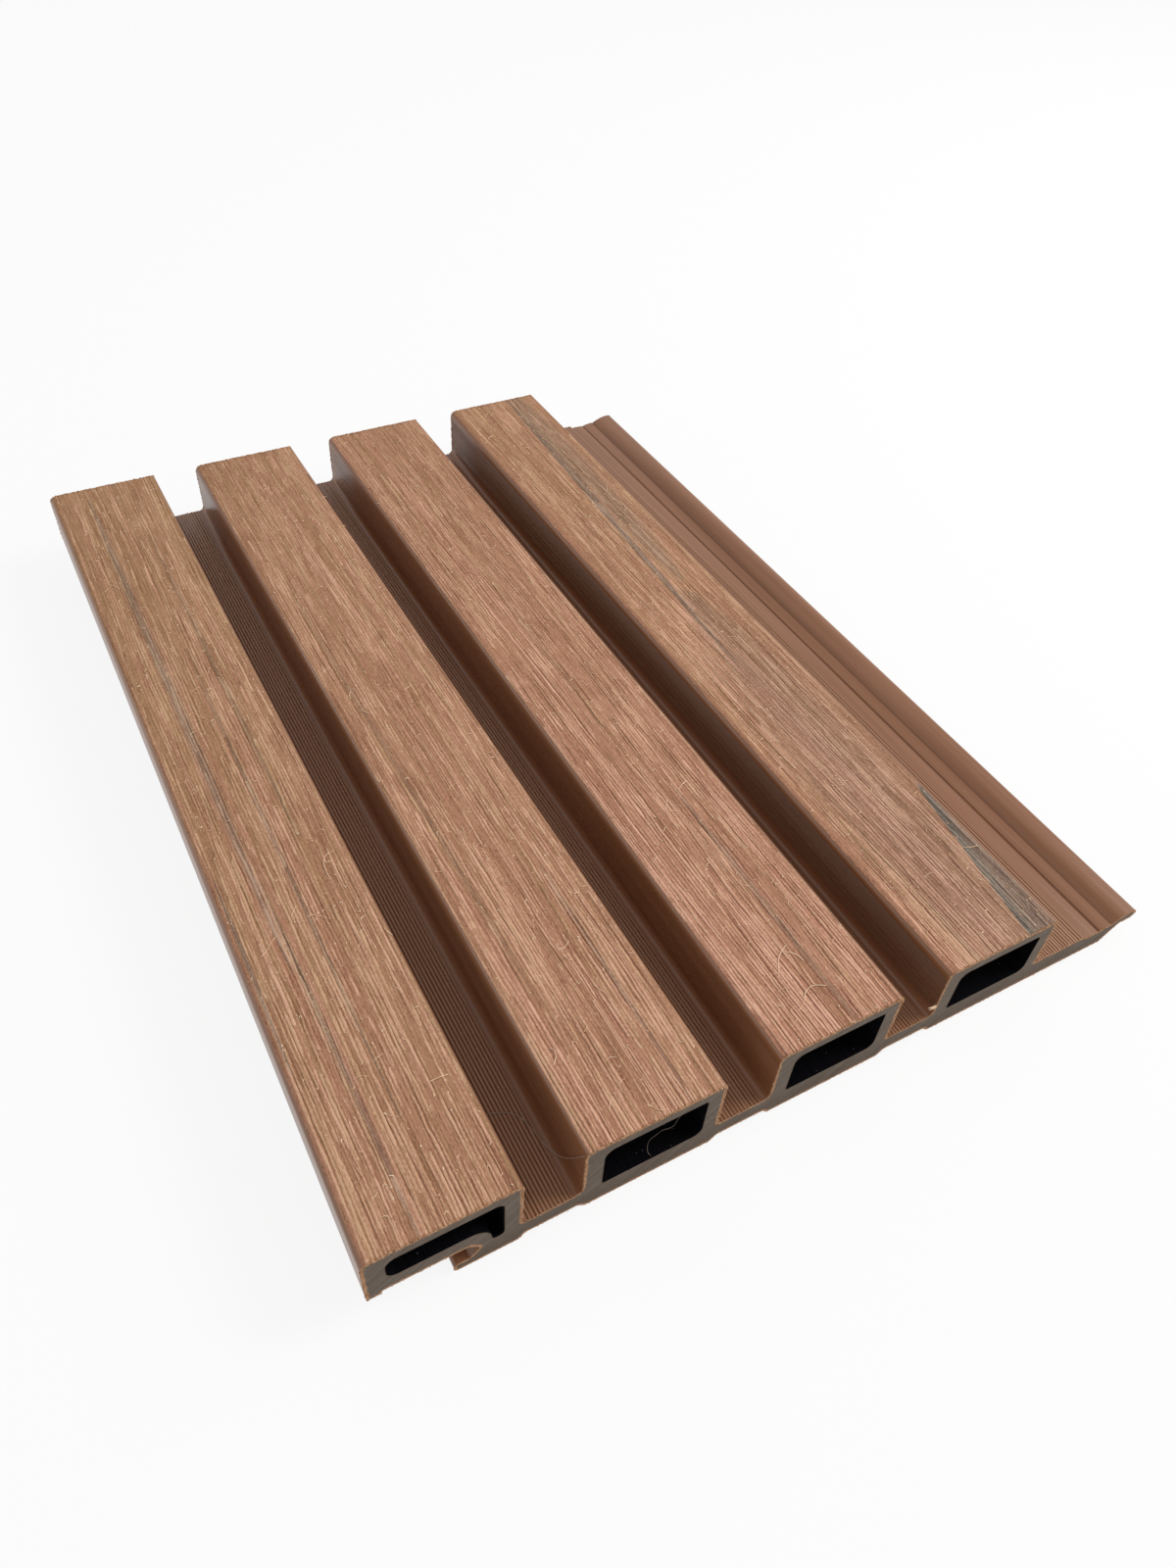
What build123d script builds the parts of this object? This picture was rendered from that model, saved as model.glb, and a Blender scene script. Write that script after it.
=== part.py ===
from build123d import *
import math
import os

# A saw-cut length of hollow, slatted wood-plastic cladding board, extruded in one piece.
# X runs across the board towards its flange, Y runs along it, and Z is up, out of the
# finished face. The origin is at the middle of the underside. Sizes are in millimetres.
LENGTH = 288.0
THICKNESS = 25.0

# Slats, and the grooves between them
SLAT_COUNT = 4
SLAT_PITCH = 49.0
SLAT_WIDTH = 34.7
BASE_THICKNESS = 7.4       # underside to the floor of the grooves
NOSE_RADIUS = 2.2          # rounded top left edge of a slat
CRISP_RADIUS = 0.4         # crisp top right edge of a slat, and the corner at its foot
FOOT_RADIUS = 2.0          # fillet where a groove floor meets the next slat
WALL_SHARE = 0.96          # most of a wall that the roundings at its two ends may take up

# Chambers inside the slats
TOP_WALL = 3.6
LEFT_WALL = 4.8
RIGHT_WALL = 4.2
CHAMBER_FLOOR = 7.0
CHAMBER_TOP_LEFT_RADIUS = 2.8
CHAMBER_TOP_RIGHT_RADIUS = 1.0
CHAMBER_LOW_RIGHT_RADIUS = 2.4
CHAMBER_LOW_LEFT_RADIUS = 0.8

# Shallow channels in the back, one under each groove
CHANNEL_DEPTH = 1.8
CHANNEL_OVERLAP = 1.0      # how far a channel runs in under the slats beside it
CHANNEL_RADIUS = 1.0

# Hook under the first slat, which takes the flange of the board before it
PLAY = 0.4                 # gap between the flange and the board that laps it
END_PLAY = 1.9             # gap between the flange tip and the end of its slot
SLOT_DEPTH = 6.1
SLOT_NOSE = 2.5            # how far the slot's end is drawn out to a point
LIP_THICKNESS = 3.2
LIP_RADIUS = 1.2
DRIP_WIDTH = 3.4           # thickness of the drip edge at the outer wall
DRIP_RADIUS = 0.5
HOOK_FLOOR = 4.7           # wall between the rebate and the chamber over it
HOOK_WALL = 2.7            # wall between the slot's end and the chamber's deep pocket
HOOK_ROUND = 6.0
POCKET_WIDTH = 2.9
POCKET_RADIUS = 1.3
DUCT_RADIUS = 2.6
DUCT_END_RADIUS = 2.0

# Flange past the last slat, which carries the screws and ends in a raised tongue
TONGUE_RISE = 1.2          # tongue's top above the groove floors
TONGUE_THICKNESS = 3.4
TONGUE_FLAT = 4.3
TONGUE_RAMP = 4.1
TONGUE_ROUND = 1.6
TONGUE_CROWN = 10.0        # large radius that blends the ramp into the tongue's top
LAND_DROP = 1.0            # screw land below the groove floors
SHOULDER_RISE = 0.6        # climb of the shoulder from the screw crease to the tongue
CREASE_DEPTH = 0.45
CREASE_HALF_WIDTH = 0.45
LIP_GAP = 1.1              # gap between the flange's undercut and the next board's lip

ceiling_z = BASE_THICKNESS + TONGUE_RISE + PLAY
drip_z = BASE_THICKNESS + PLAY
cover_width = SLAT_COUNT * SLAT_PITCH
pocket_x = SLAT_WIDTH - RIGHT_WALL - POCKET_WIDTH
slot_end = pocket_x - HOOK_WALL
lip_x = slot_end - SLOT_DEPTH
overall_width = cover_width + slot_end - END_PLAY


def radii_that_fit(points, radii):
    """Corner radii, made smaller where two roundings would meet on the wall between them."""
    count = len(points)
    runs = []
    for index, radius in enumerate(radii):
        to_last = points[index - 1] - points[index]
        to_next = points[(index + 1) % count] - points[index]
        half_angle = math.radians(to_last.get_angle(to_next)) / 2
        runs.append(radius / math.tan(half_angle))
    shares = [1.0] * count
    for index in range(count):
        follower = (index + 1) % count
        room = (points[follower] - points[index]).length * WALL_SHARE
        needed = runs[index] + runs[follower]
        if needed > room:
            shares[index] = min(shares[index], room / needed)
            shares[follower] = min(shares[follower], room / needed)
    return [radius * share for radius, share in zip(radii, shares)]


def filled(corners):
    """Face inside a closed outline, given as (x, z, corner radius)."""
    points = [Vector(x, z) for x, z, radius in corners]
    radii = radii_that_fit(points, [radius for x, z, radius in corners])
    return make_face(FilletPolyline(*points, radius=radii, close=True))


def slat_corners(index):
    """Both walls and the top of one slat, from its left foot to its right foot."""
    left = index * SLAT_PITCH
    right = left + SLAT_WIDTH
    if index == 0:
        left_foot = (left, drip_z, DRIP_RADIUS)
    else:
        left_foot = (left, BASE_THICKNESS, FOOT_RADIUS)
    return [
        left_foot,
        (left, THICKNESS, NOSE_RADIUS),
        (right, THICKNESS, CRISP_RADIUS),
        (right, BASE_THICKNESS, CRISP_RADIUS),
    ]


def crease_corners(x, z):
    """A shallow V pressed along the flange."""
    return [
        (x - CREASE_HALF_WIDTH, z, 0),
        (x, z - CREASE_DEPTH, 0),
        (x + CREASE_HALF_WIDTH, z, 0),
    ]


def flange_corners():
    """Flange from its visible floor over the screw land to the tongue, and back underneath."""
    land_z = BASE_THICKNESS - LAND_DROP
    shoulder_z = land_z + SHOULDER_RISE
    tongue_top = BASE_THICKNESS + TONGUE_RISE
    tongue_low = tongue_top - TONGUE_THICKNESS
    step_x = cover_width + DRIP_WIDTH + PLAY
    ramp_top_x = overall_width - TONGUE_FLAT
    ramp_x = ramp_top_x - TONGUE_RAMP
    screw_x = (step_x + LAND_DROP + ramp_x) / 2
    undercut_x = cover_width + lip_x - LIP_GAP
    return [
        (step_x, BASE_THICKNESS, CRISP_RADIUS),
        (step_x + LAND_DROP, land_z, CRISP_RADIUS),
        *crease_corners(screw_x, land_z),
        *crease_corners(ramp_x - CREASE_HALF_WIDTH, shoulder_z),
        (ramp_top_x, tongue_top, TONGUE_CROWN),
        (overall_width, tongue_top, TONGUE_ROUND),
        (overall_width, tongue_low, TONGUE_ROUND),
        (undercut_x, tongue_low, TONGUE_ROUND),
        (undercut_x - tongue_low, 0, CRISP_RADIUS),
    ]


def channel_corners(index):
    """Back channel under the groove that follows one slat, from right to left."""
    right = (index + 1) * SLAT_PITCH + CHANNEL_OVERLAP
    left = index * SLAT_PITCH + SLAT_WIDTH - CHANNEL_OVERLAP
    return [
        (right, 0, CHANNEL_RADIUS),
        (right - CHANNEL_DEPTH, CHANNEL_DEPTH, CHANNEL_RADIUS),
        (left + CHANNEL_DEPTH, CHANNEL_DEPTH, CHANNEL_RADIUS),
        (left, 0, CHANNEL_RADIUS),
    ]


def hook_corners():
    """Lip, slot and rebate under the first slat, from the underside to the drip edge."""
    slot_nose_z = (LIP_THICKNESS + ceiling_z) / 2
    return [
        (lip_x, 0, LIP_RADIUS),
        (lip_x, LIP_THICKNESS, LIP_RADIUS),
        (slot_end - SLOT_NOSE, LIP_THICKNESS, CRISP_RADIUS),
        (slot_end, slot_nose_z, CRISP_RADIUS),
        (slot_end - SLOT_NOSE, ceiling_z, CRISP_RADIUS),
        (DRIP_WIDTH, ceiling_z, CRISP_RADIUS),
        (DRIP_WIDTH, drip_z, DRIP_RADIUS),
    ]


def board_outline():
    """Outer outline of the section, clockwise from the drip edge."""
    corners = []
    for index in range(SLAT_COUNT):
        corners += slat_corners(index)
    corners += flange_corners()
    for index in reversed(range(SLAT_COUNT - 1)):
        corners += channel_corners(index)
    corners += hook_corners()
    return filled(corners)


def chamber(index):
    """Rectangular chamber of a plain slat."""
    left = index * SLAT_PITCH + LEFT_WALL
    right = index * SLAT_PITCH + SLAT_WIDTH - RIGHT_WALL
    top = THICKNESS - TOP_WALL
    return filled([
        (left, CHAMBER_FLOOR, CHAMBER_LOW_LEFT_RADIUS),
        (left, top, CHAMBER_TOP_LEFT_RADIUS),
        (right, top, CHAMBER_TOP_RIGHT_RADIUS),
        (right, CHAMBER_FLOOR, CHAMBER_LOW_RIGHT_RADIUS),
    ])


def hook_chamber():
    """Chamber of the first slat: a flat duct over the rebate and a pocket behind the slot."""
    right = SLAT_WIDTH - RIGHT_WALL
    top = THICKNESS - TOP_WALL
    duct_floor = ceiling_z + HOOK_FLOOR
    return filled([
        (LEFT_WALL, duct_floor, DUCT_RADIUS),
        (LEFT_WALL, top, DUCT_RADIUS),
        (right, top, DUCT_END_RADIUS),
        (right, CHAMBER_FLOOR, POCKET_RADIUS),
        (pocket_x, CHAMBER_FLOOR, POCKET_RADIUS),
        (pocket_x, duct_floor, HOOK_ROUND),
    ])


section = board_outline() - hook_chamber()
for slat in range(1, SLAT_COUNT):
    section -= chamber(slat)

board = extrude(Plane.XZ * Pos(-overall_width / 2, 0) * section, LENGTH / 2, both=True)

os.makedirs("parts", exist_ok=True)
export_step(board, "parts/cladding_board.step")
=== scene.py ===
import math
import bmesh
import bpy
import numpy as np
from mathutils import Matrix, Vector
from mathutils.geometry import delaunay_2d_cdt


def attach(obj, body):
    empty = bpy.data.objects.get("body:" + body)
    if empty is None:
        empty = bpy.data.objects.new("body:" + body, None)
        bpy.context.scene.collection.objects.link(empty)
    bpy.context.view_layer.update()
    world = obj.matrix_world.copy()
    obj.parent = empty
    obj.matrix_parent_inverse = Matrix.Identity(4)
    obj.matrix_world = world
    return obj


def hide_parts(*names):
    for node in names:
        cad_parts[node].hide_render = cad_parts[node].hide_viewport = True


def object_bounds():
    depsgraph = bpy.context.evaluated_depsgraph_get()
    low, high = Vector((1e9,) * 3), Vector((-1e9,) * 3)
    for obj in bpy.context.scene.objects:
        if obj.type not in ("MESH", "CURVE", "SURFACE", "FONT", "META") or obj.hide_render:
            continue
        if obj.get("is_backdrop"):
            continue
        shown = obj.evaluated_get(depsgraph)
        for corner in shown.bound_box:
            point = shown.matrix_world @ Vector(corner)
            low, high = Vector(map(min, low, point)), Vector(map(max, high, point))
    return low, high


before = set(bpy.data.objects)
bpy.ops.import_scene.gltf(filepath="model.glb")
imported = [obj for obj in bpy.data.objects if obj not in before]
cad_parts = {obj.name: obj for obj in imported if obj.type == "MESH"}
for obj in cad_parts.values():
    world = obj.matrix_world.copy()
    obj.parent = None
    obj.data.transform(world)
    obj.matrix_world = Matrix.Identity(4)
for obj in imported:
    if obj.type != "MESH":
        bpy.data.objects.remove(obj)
cad_low, cad_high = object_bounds()

# The board: one hollow bar of wood-plastic, pushed through a die with a brown skin over a grey
# core, then cut to a short length with a circular saw. The die leaves fine ribs in the grooves,
# on the flange and on two of the walls. Shallow beds in the slats take the brushed tops below.
MM = 0.001
TOUCH = 0.002 * MM
LONG_FACE = 8 * MM  # longer flat faces are slat tops, floors and walls
LEVEL = 0.999  # how closely a face looks straight up or sideways
BED_DEPTH = 0.9 * MM  # skin on a slat, above the bed that it lies in
BRUSH_DROP = 0.40 * MM  # how far down its rounded edge a slat is brushed
RIB_PITCH = 0.92 * MM
RIB_STEPS = 6
# The darker valleys and paler crests of the die ribs are painted shade and painted highlight
RIB_SHADE = 0.2 * MM  # depth from which a rib shows its full change of tone
PLAIN = 0.6  # rib value of a plain face, between a valley at 0 and a crest at 1
# Ribs of the floors and of each slat's left wall: least and most depth of the valleys in mm, rib
# value of the crests, and roundness of the ribs, where 0.5 is a half circle
FLOOR_RIBS = (0.10, 0.28, 1.0, 0.5)
WALL_RIBS = (None, None, (0.06, 0.12, PLAIN, 0.8), (0.26, 0.36, 0.3, 1.2))
chance = np.random.default_rng(41)


def cut_outlines(mesh):
    """Closed outlines of the near saw cut, as (x, z) arrays, the outer one first and clockwise."""
    near = min(vertex.co.y for vertex in mesh.vertices)
    edges = {}
    for face in mesh.polygons:
        corners = [mesh.vertices[index].co for index in face.vertices]
        if max(corner.y for corner in corners) - near > TOUCH:
            continue
        ring = [(round(corner.x, 7), round(corner.z, 7)) for corner in corners]
        for start, end in zip(ring, ring[1:] + ring[:1]):
            edges[start, end] = True
    follow = {start: end for start, end in edges if (end, start) not in edges}
    loops = []
    while follow:
        start, point = follow.popitem()
        loop = [start]
        while point != start:
            loop.append(point)
            point = follow.pop(point)
        loops.append(np.array(loop[::-1]))
    return sorted(loops, key=lambda loop: np.ptp(loop[:, 0]), reverse=True)


def ribbed(start, end, out, least, most, crest, roundness):
    """Points of the rounded die ribs between two corners, each with its rib value."""
    run = end - start
    count = round(np.hypot(*run) / RIB_PITCH)
    depths = chance.uniform(least, most, count + 1) * MM
    depths[[0, -1]] = 0
    made = []
    for step in range(1, count * RIB_STEPS):
        rib, part = divmod(step / RIB_STEPS, 1)
        rise = (1 - (2 * part - 1) ** 2) ** roundness
        depth = depths[int(rib)] * (1 - part) + depths[int(rib) + 1] * part
        spot = start + run * step / (count * RIB_STEPS) - out * depth * (1 - rise)
        made.append((*spot, PLAIN + (rise * crest - PLAIN) * min(1, depth / RIB_SHADE)))
    return made


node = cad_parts["cladding_board"]
outline, *chambers = cut_outlines(node.data)
outline = np.roll(outline, -int(np.argmin(outline.sum(axis=1))), axis=0)
near_y, far_y = cad_low.y, cad_high.y
top_z = outline[:, 1].max()
section = []  # x, z and rib value along the outline with its ribs and beds, clockwise
top_edges = []  # left and right edge of each brushed top
roundings = []  # x and drop below the top along the brushed part of each rounded edge
for start, end in zip(outline, np.roll(outline, -1, axis=0)):
    section.append((*start, PLAIN))
    run = end - start
    out = np.array([-run[1], run[0]]) / np.hypot(*run)
    if np.hypot(*run) < LONG_FACE:
        continue
    if out[1] > LEVEL and abs(start[1] - top_z) < TOUCH:
        nose = []
        while section[-1][1] > top_z - BRUSH_DROP:
            nose.insert(0, section.pop())
        nose.insert(0, section[-1])
        roundings.append([(x, top_z - z) for x, z, _ in nose])
        top_edges.append((nose[0][0], end[0]))
        section += [(x, top_z - BED_DEPTH, PLAIN) for x in top_edges[-1]]
    elif out[1] > LEVEL:
        section += ribbed(start, end, out, *FLOOR_RIBS)
    elif out[0] < -LEVEL and WALL_RIBS[len(top_edges)]:
        section += ribbed(start, end, out, *WALL_RIBS[len(top_edges)])

SMOOTH, SAWN, LINING = range(3)
verts = []
faces = []
finish_of = []
rings = []  # numbers of the points round the near and the far cut, loop by loop
section = np.array(section)
for loop, finish in [(section[:, :2], SMOOTH)] + [(chamber, LINING) for chamber in chambers]:
    size = len(loop)
    begin = len(verts)
    for y in (near_y, far_y):
        verts.extend((x, y, z) for x, z in loop)
    near_ring = list(range(begin, begin + size))
    far_ring = list(range(begin + size, begin + 2 * size))
    for one in range(size):
        two = (one + 1) % size
        faces.append((near_ring[one], near_ring[two], far_ring[two], far_ring[one]))
        finish_of.append(finish)
    rings.append((near_ring, far_ring))


def away_from(points, loop):
    """Distance of each point from a closed outline."""
    start = loop[None]
    run = np.roll(loop, -1, axis=0)[None] - start
    reach = points[:, None] - start
    share = np.clip((reach * run).sum(-1) / (run ** 2).sum(-1), 0, 1)
    return np.sqrt(((reach - share[..., None] * run) ** 2).sum(-1)).min(1)


def within(points, loop):
    """Which points lie inside a closed outline."""
    x, z = points[:, :1], points[:, 1:]
    x0, z0 = loop[:, 0], loop[:, 1]
    x1, z1 = np.roll(x0, -1), np.roll(z0, -1)
    spans = (z0 > z) != (z1 > z)
    crossing = x0 + (z - z0) / np.where(z1 == z0, 1, z1 - z0) * (x1 - x0)
    return (spans & (x < crossing)).sum(1) % 2 == 1


# The saw cuts: points follow the outlines, so that skin and core meet along a ragged border.
# The sizes are in mm.
RING_DEPTHS = (0.4, 0.8, 1.3)  # rings of points inside the outer outline
HOLE_DEPTH = 0.45  # ring of points round each chamber
RING_STEP = 0.9  # between the points of a ring
FIELD_X, FIELD_Z = (-109, 109), (0.6, 25)
FIELD_STEP = 2.2  # between the points of the field, which are then shifted a little
FIELD_SHIFT = 0.5
CLOSEST = 0.33  # least gap between two points
FAR_OFF = 9.0  # distance from a chamber for points that lie beside none
KEEP_INSIDE, SAME_POINT = 1, 1e-6  # which triangles are made, and when two points are one


def inset(loop, depth):
    """Points at a depth inside the solid beside a closed outline, about one each RING_STEP."""
    run = np.roll(loop, -1, axis=0) - loop
    length = np.hypot(*run.T)
    ends = np.concatenate([[0], np.cumsum(length)])
    at = np.arange(RING_STEP / 3, ends[-1], RING_STEP)
    piece = np.searchsorted(ends, at, side="right") - 1
    unit = run[piece] / length[piece, None]
    spot = loop[piece] + unit * (at - ends[piece])[:, None]
    return spot + depth * np.column_stack([unit[:, 1], -unit[:, 0]])


skin = outline / MM
skin_depth = np.zeros(len(verts))
rim_gap = np.full(len(verts), FAR_OFF)
for end, y in enumerate((near_y, far_y)):
    flat = np.array(verts)[:, ::2] / MM
    loops = [flat[ring[end]] for ring in rings]
    rim, *holes = loops
    field = np.stack(np.meshgrid(np.arange(*FIELD_X, FIELD_STEP), np.arange(*FIELD_Z, FIELD_STEP)), -1)
    field = field.reshape(-1, 2) + chance.uniform(-FIELD_SHIFT, FIELD_SHIFT, (field.size // 2, 2))
    groups = [inset(skin, depth) for depth in RING_DEPTHS] + [inset(hole, HOLE_DEPTH) for hole in holes]
    kept = np.zeros((0, 2))
    for group in (*groups, field):
        clear = within(group, rim) & (away_from(group, rim) > CLOSEST)
        for hole in holes:
            clear &= ~within(group, hole) & (away_from(group, hole) > CLOSEST)
        group = group[clear]
        if len(kept):
            gaps = np.sqrt(((group[:, None] - kept[None]) ** 2).sum(-1)).min(1)
            group = group[gaps > CLOSEST]
        kept = np.vstack([kept, group])
    numbers = sum((ring[end] for ring in rings), [])
    cuts = []
    begin = 0
    for loop in loops:
        cuts += [(begin + step, begin + (step + 1) % len(loop)) for step in range(len(loop))]
        begin += len(loop)
    points = [Vector(spot) for spot in np.vstack([flat[numbers], kept])]
    made, _, triangles, sources, _, _ = delaunay_2d_cdt(points, cuts, [], KEEP_INSIDE, SAME_POINT)
    spots = np.array([spot[:] for spot in made])
    middles = np.array([spots[list(face)].mean(0) for face in triangles])
    hollow = np.any([within(middles, hole) for hole in holes], axis=0)
    place = {}
    fresh = []
    for index, source in enumerate(sources):
        if source and source[0] < len(numbers):
            place[index] = numbers[source[0]]
        else:
            place[index] = len(verts)
            verts.append((spots[index][0] * MM, y, spots[index][1] * MM))
            fresh.append(spots[index])
    fresh = np.array(fresh)
    skin_depth = np.concatenate([skin_depth, away_from(fresh, skin)])
    rim_gap = np.concatenate([rim_gap, np.min([away_from(fresh, hole) for hole in holes], axis=0)])
    for ring, loop in zip(rings, loops):
        skin_depth[ring[end]] = away_from(loop, skin)
    for ring in rings[1:]:
        rim_gap[ring[end]] = 0
    for face, empty in zip(triangles, hollow):
        if not empty:
            corners = [place[index] for index in face]
            faces.append(corners if y == near_y else corners[::-1])
            finish_of.append(SAWN)

board_mesh = bpy.data.meshes.new("cladding_board_finished")
board_mesh.from_pydata(verts, [], faces)
board_mesh.polygons.foreach_set("material_index", finish_of)
board_mesh.polygons.foreach_set("use_smooth", [True] * len(faces))


def mark(mesh, **fields):
    """Gives the points of a mesh named values, which its materials read."""
    for name, values in fields.items():
        mesh.attributes.new(name, "FLOAT", "POINT").data.foreach_set("value", np.ravel(values))


rib = np.full(len(verts), PLAIN)
rib[rings[0][0]] = section[:, 2]
rib[rings[0][1]] = section[:, 2]
mark(board_mesh, skin_depth=skin_depth, rim_gap=rim_gap, rib=rib)
CREASE_ANGLE = math.radians(33)
shaped = bmesh.new()
shaped.from_mesh(board_mesh)
for edge in shaped.edges:
    edge.smooth = edge.calc_face_angle() < CREASE_ANGLE
shaped.to_mesh(board_mesh)
shaped.free()


def part_of_board(name, mesh):
    """A piece that belongs to the board and moves with it."""
    made = bpy.data.objects.new(name, mesh)
    bpy.context.scene.collection.objects.link(made)
    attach(made, "root")
    return made


board = part_of_board("composite_board", board_mesh)
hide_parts("cladding_board")


def feed(tree, socket, source):
    """Links a socket to an input, or writes a plain value into it."""
    if isinstance(source, bpy.types.NodeSocket):
        tree.links.new(source, socket)
    else:
        socket.default_value = source


def mixed(tree, share, one, two):
    """Colour between two colours."""
    mixer = tree.nodes.new("ShaderNodeMix")
    mixer.data_type = "RGBA"
    mixer.clamp_factor = True
    for socket, source in ((0, share), (6, one), (7, two)):
        feed(tree, mixer.inputs[socket], source)
    return mixer.outputs[2]


def worked(tree, way, one, two=0.0):
    """Result of a sum on two values."""
    sum_node = tree.nodes.new("ShaderNodeMath")
    sum_node.operation = way
    feed(tree, sum_node.inputs[0], one)
    feed(tree, sum_node.inputs[1], two)
    return sum_node.outputs[0]


def ranged(tree, value, low, high, out_low=0.0, out_high=1.0):
    """Value carried smoothly from one range to another."""
    ranger = tree.nodes.new("ShaderNodeMapRange")
    ranger.interpolation_type = "SMOOTHSTEP"
    feed(tree, ranger.inputs["Value"], value)
    limits = {"From Min": low, "From Max": high, "To Min": out_low, "To Max": out_high}
    for name, limit in limits.items():
        ranger.inputs[name].default_value = limit
    return ranger.outputs["Result"]


def marked(tree, name):
    """Value that the mesh carries at each point."""
    reader = tree.nodes.new("ShaderNodeAttribute")
    reader.attribute_name = name
    return reader.outputs["Fac"]


def new_group(name, inputs, output):
    """Empty node group with number inputs and one number output."""
    group = bpy.data.node_groups.new(name, "ShaderNodeTree")
    for label, value in inputs.items():
        socket = group.interface.new_socket(label, in_out="INPUT", socket_type="NodeSocketFloat")
        socket.default_value = value
    group.interface.new_socket(output, in_out="OUTPUT", socket_type="NodeSocketFloat")
    return group, group.nodes.new("NodeGroupInput").outputs, group.nodes.new("NodeGroupOutput").inputs


def placed(tree, group, **values):
    """Output of a node group placed in a material with its own values."""
    holder = tree.nodes.new("ShaderNodeGroup")
    holder.node_tree = group
    for label, value in values.items():
        feed(tree, holder.inputs[label], value)
    return holder.outputs[0]


def new_finish(name, roughness, shine):
    """New material, with its node tree and the inputs of its surface shader."""
    material = bpy.data.materials.new(name)
    material.use_nodes = True
    shader = material.node_tree.nodes["Principled BSDF"]
    shader.inputs["Roughness"].default_value = roughness
    shader.inputs["Specular IOR Level"].default_value = shine
    return material, material.node_tree, shader.inputs


def raised(tree, height, strength, depth):
    """Normal of a surface with fine relief."""
    bump = tree.nodes.new("ShaderNodeBump")
    bump.inputs["Strength"].default_value = strength
    bump.inputs["Distance"].default_value = depth
    tree.links.new(height, bump.inputs["Height"])
    return bump.outputs["Normal"]


# Streaks drawn out along the board by the die, with a width and a length in metres
drawn_lines, given, result = new_group("Drawn lines", {"Across": 0.001, "Along": 0.02}, "Value")
where = drawn_lines.nodes.new("ShaderNodeTexCoord").outputs["Object"]
size = drawn_lines.nodes.new("ShaderNodeCombineXYZ")
for axis, label in zip("XYZ", ("Across", "Along", "Across")):
    drawn_lines.links.new(given[label], size.inputs[axis])
scaled = drawn_lines.nodes.new("ShaderNodeVectorMath")
scaled.operation = "DIVIDE"
drawn_lines.links.new(where, scaled.inputs[0])
drawn_lines.links.new(size.outputs[0], scaled.inputs[1])
lines_noise = drawn_lines.nodes.new("ShaderNodeTexNoise")
lines_noise.inputs["Scale"].default_value = 1.0
lines_noise.inputs["Detail"].default_value = 2.0
drawn_lines.links.new(scaled.outputs[0], lines_noise.inputs["Vector"])
drawn_lines.links.new(lines_noise.outputs["Fac"], result["Value"])

# Loose dust and chips, as rare round specks at a spacing in metres
speckle, given, result = new_group("Specks", {"Spacing": 0.002, "Size": 0.2, "Share": 0.2}, "Mask")
where = speckle.nodes.new("ShaderNodeTexCoord").outputs["Object"]
cells = speckle.nodes.new("ShaderNodeTexVoronoi")
speckle.links.new(where, cells.inputs["Vector"])
speckle.links.new(worked(speckle, "DIVIDE", 1.0, given["Spacing"]), cells.inputs["Scale"])
small = worked(speckle, "LESS_THAN", cells.outputs["Distance"], given["Size"])
channels = speckle.nodes.new("ShaderNodeSeparateColor")
speckle.links.new(cells.outputs["Color"], channels.inputs["Color"])
chosen = worked(speckle, "LESS_THAN", channels.outputs["Red"], given["Share"])
speckle.links.new(worked(speckle, "MULTIPLY", small, chosen), result["Mask"])

# Fine uneven grit, with about so many grains to a metre
grit, given, result = new_group("Grit", {"Scale": 700.0, "Detail": 2.0}, "Value")
where = grit.nodes.new("ShaderNodeTexCoord").outputs["Object"]
grains = grit.nodes.new("ShaderNodeTexNoise")
grit.links.new(where, grains.inputs["Vector"])
for label in ("Scale", "Detail"):
    grit.links.new(given[label], grains.inputs[label])
grit.links.new(grains.outputs["Fac"], result["Value"])

# Unbrushed skin of the walls, grooves, flange and back: smooth, with faint die lines, and with painted
# shade in the valleys and a painted highlight on the crests of the die ribs
SKIN_DEEP, SKIN_PALE = (0.216, 0.088, 0.037, 1), (0.270, 0.123, 0.064, 1)
SKIN_DUST = (0.44, 0.29, 0.20, 1)
RIB_CREST_HIGHLIGHT, RIB_VALLEY_SHADE = (0.40, 0.212, 0.120, 1), (0.090, 0.037, 0.017, 1)
material, tree, surface = new_finish("die_smooth_skin", 0.3, 0.36)
broad = placed(tree, drawn_lines, Across=0.004, Along=0.12)
narrow = placed(tree, drawn_lines, Across=0.0004, Along=0.03)
colour = mixed(tree, ranged(tree, broad, 0.3, 0.7), SKIN_DEEP, SKIN_PALE)
colour = mixed(tree, ranged(tree, narrow, 0.45, 0.8, 0.0, 0.07), colour, SKIN_DUST)
specks = placed(tree, speckle, Spacing=0.0035, Size=0.05, Share=0.25)
colour = mixed(tree, worked(tree, "MULTIPLY", specks, 0.7), colour, SKIN_DUST)
rib = marked(tree, "rib")
# Painted shade in the rib valleys, then a painted highlight on the rib crests
colour = mixed(tree, ranged(tree, rib, PLAIN, 0.0, 0.0, 0.6), colour, RIB_VALLEY_SHADE)
colour = mixed(tree, ranged(tree, rib, PLAIN, 1.0, 0.0, 0.6), colour, RIB_CREST_HIGHLIGHT)
tree.links.new(colour, surface["Base Color"])
tree.links.new(ranged(tree, narrow, 0.3, 0.7, 0.26, 0.38), surface["Roughness"])
tree.links.new(raised(tree, narrow, 0.12, 0.0001), surface["Normal"])
board_mesh.materials.append(material)
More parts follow.
